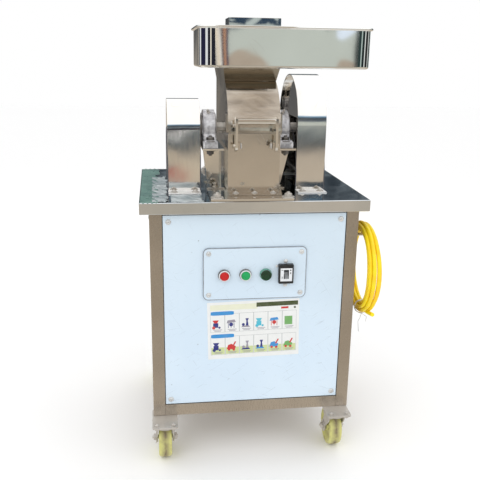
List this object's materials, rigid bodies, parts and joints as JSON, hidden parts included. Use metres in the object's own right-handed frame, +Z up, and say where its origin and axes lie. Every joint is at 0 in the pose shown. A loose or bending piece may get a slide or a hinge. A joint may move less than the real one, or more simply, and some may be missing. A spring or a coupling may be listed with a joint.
{
  "type": "hammer mill",
  "caption": "Stainless hammer mill on a wheeled cabinet: belt-driven swing-hammer rotor in a hinged casing, hopper tray above, motor below, push-button panel.",
  "frame": {"origin": "on the floor, under the middle of the whole machine without its cable", "axes": "+Z up, front (control plate) towards -Y, cable on the +X side"},
  "size_m": [0.5784, 0.56, 1.09],
  "materials": {
    "mirror_steel": "bright polished stainless sheet, with fine scratches",
    "tube_steel": "satin stainless tube and sheet",
    "filmed_steel": "stainless sheet still under its pale blue protective film",
    "cast_iron": "sand-cast, aluminium coloured paint",
    "zinc_steel": "bright zinc or stainless hardware",
    "dark_steel": "machined carbon steel, oiled",
    "motor_paint": "blue-grey machine enamel",
    "belt_rubber": "wrapped V-belt rubber",
    "wheel_nylon": "pale yellow nylon, scuffed tread",
    "red_plastic": "glossy red button",
    "green_plastic": "glossy green button",
    "green_lens": "dark green translucent lens, unlit",
    "black_plastic": "moulded black plastic",
    "grey_plastic": "moulded grey plastic",
    "cable_yellow": "smooth yellow cable sheath"
  },
  "bodies": {
    "cabinet": {"bearing_left": "cast_iron", "bearing_right": "cast_iron", "bottom_frame": "tube_steel", "breaker_body": "black_plastic", "cable_coil": "cable_yellow", "cable_gland": "black_plastic", "cable_hook": "zinc_steel", "cable_lead": "cable_yellow", "caster_plate_front_left": "zinc_steel", "caster_plate_front_right": "zinc_steel", "caster_plate_rear_left": "zinc_steel", "caster_plate_rear_right": "zinc_steel", "control_plate": "filmed_steel", "discharge_chute": "tube_steel", "drive_belt": "belt_rubber", "front_panel": "filmed_steel", "left_cover": "mirror_steel", "left_panel": "tube_steel", "leg_front_left": "tube_steel", "leg_front_right": "tube_steel", "leg_rear_left": "tube_steel", "leg_rear_right": "tube_steel", "lower_housing": "mirror_steel", "mill_base_plate": "mirror_steel", "motor_body": "motor_paint", "pedestal_left": "mirror_steel", "pedestal_right": "mirror_steel", "pilot_lamp": "green_lens", "rear_panel": "tube_steel", "right_guard": "mirror_steel", "right_panel": "tube_steel", "screen": "zinc_steel", "start_button_bezel": "zinc_steel", "stop_button_bezel": "zinc_steel", "table_top": "mirror_steel", "top_frame": "tube_steel"},
    "rotor": {"rotor_shaft": "zinc_steel", "rotor_discs": "dark_steel", "mill_pulley": "dark_steel", "flywheel": "dark_steel"},
    "motor_rotor": {"motor_pulley": "dark_steel"},
    "hood": {"hood": "mirror_steel", "hopper_tray": "mirror_steel", "feed_guard": "mirror_steel"},
    "latch": {"latch_bail": "mirror_steel"},
    "stop_button": {"stop_button_cap": "red_plastic"},
    "start_button": {"start_button_cap": "green_plastic"},
    "breaker_lever": {"breaker_lever": "grey_plastic"},
    "hammers_1": {"hammer_set_1": "dark_steel"},
    "hammers_2": {"hammer_set_2": "dark_steel"},
    "hammers_3": {"hammer_set_3": "dark_steel"},
    "hammers_4": {"hammer_set_4": "dark_steel"},
    "fork_front_left": {"caster_fork_front_left": "zinc_steel"},
    "wheel_front_left": {"caster_wheel_front_left": "wheel_nylon"},
    "fork_front_right": {"caster_fork_front_right": "zinc_steel"},
    "wheel_front_right": {"caster_wheel_front_right": "wheel_nylon"},
    "fork_rear_left": {"caster_fork_rear_left": "zinc_steel"},
    "wheel_rear_left": {"caster_wheel_rear_left": "wheel_nylon"},
    "fork_rear_right": {"caster_fork_rear_right": "zinc_steel"},
    "wheel_rear_right": {"caster_wheel_rear_right": "wheel_nylon"}
  },
  "joints": [
    {"name": "rotor_spin", "type": "hinge", "parent": "cabinet", "child": "rotor", "pos_m": [-0.0115, -0.035, 0.827], "axis": [1, 0, 0], "continuous": true},
    {"name": "hammer_swing_1", "type": "hinge", "parent": "rotor", "child": "hammers_1", "pos_m": [-0.0115, 0.01308, 0.87508], "axis": [1, 0, 0], "continuous": true},
    {"name": "hammer_swing_2", "type": "hinge", "parent": "rotor", "child": "hammers_2", "pos_m": [-0.0115, -0.08308, 0.87508], "axis": [1, 0, 0], "continuous": true},
    {"name": "hammer_swing_3", "type": "hinge", "parent": "rotor", "child": "hammers_3", "pos_m": [-0.0115, -0.08308, 0.77892], "axis": [1, 0, 0], "continuous": true},
    {"name": "hammer_swing_4", "type": "hinge", "parent": "rotor", "child": "hammers_4", "pos_m": [-0.0115, 0.01308, 0.77892], "axis": [1, 0, 0], "continuous": true},
    {"name": "motor_spin", "type": "hinge", "parent": "cabinet", "child": "motor_rotor", "pos_m": [0.1415, -0.035, 0.2373], "axis": [1, 0, 0], "continuous": true},
    {"name": "hood_open", "type": "hinge", "parent": "cabinet", "child": "hood", "pos_m": [-0.0115, 0.149, 0.819], "axis": [-1, 0, 0], "range_deg": [0, 60]},
    {"name": "latch_swing", "type": "hinge", "parent": "cabinet", "child": "latch", "pos_m": [-0.0115, -0.186, 0.799], "axis": [1, 0, 0], "range_deg": [0, 100]},
    {"name": "stop_press", "type": "slide", "parent": "cabinet", "child": "stop_button", "axis": [0, 1, 0], "range_m": [0, 0.004], "stiffness_N_per_m": 500},
    {"name": "start_press", "type": "slide", "parent": "cabinet", "child": "start_button", "axis": [0, 1, 0], "range_m": [0, 0.004], "stiffness_N_per_m": 500},
    {"name": "breaker_toggle", "type": "hinge", "parent": "cabinet", "child": "breaker_lever", "pos_m": [0.0625, -0.2241, 0.493], "axis": [-1, 0, 0], "range_deg": [0, 56]},
    {"name": "swivel_front_left", "type": "hinge", "parent": "cabinet", "child": "fork_front_left", "pos_m": [-0.2375, -0.233, 0.105], "axis": [0, 0, 1], "continuous": true},
    {"name": "roll_front_left", "type": "hinge", "parent": "fork_front_left", "child": "wheel_front_left", "pos_m": [-0.2375, -0.209, 0.05], "axis": [1, 0, 0], "continuous": true},
    {"name": "swivel_front_right", "type": "hinge", "parent": "cabinet", "child": "fork_front_right", "pos_m": [0.2075, -0.225, 0.105], "axis": [0, 0, 1], "continuous": true},
    {"name": "roll_front_right", "type": "hinge", "parent": "fork_front_right", "child": "wheel_front_right", "pos_m": [0.2075, -0.201, 0.05], "axis": [1, 0, 0], "continuous": true},
    {"name": "swivel_rear_left", "type": "hinge", "parent": "cabinet", "child": "fork_rear_left", "pos_m": [-0.2345, 0.233, 0.105], "axis": [0, 0, 1], "continuous": true},
    {"name": "roll_rear_left", "type": "hinge", "parent": "fork_rear_left", "child": "wheel_rear_left", "pos_m": [-0.2345, 0.209, 0.05], "axis": [1, 0, 0], "continuous": true},
    {"name": "swivel_rear_right", "type": "hinge", "parent": "cabinet", "child": "fork_rear_right", "pos_m": [0.2095, 0.233, 0.105], "axis": [0, 0, 1], "continuous": true},
    {"name": "roll_rear_right", "type": "hinge", "parent": "fork_rear_right", "child": "wheel_rear_right", "pos_m": [0.2095, 0.209, 0.05], "axis": [1, 0, 0], "continuous": true}
  ],
  "couplings": [
    {"joint": "motor_spin", "follows": "rotor_spin", "ratio": 0.62162}
  ]
}
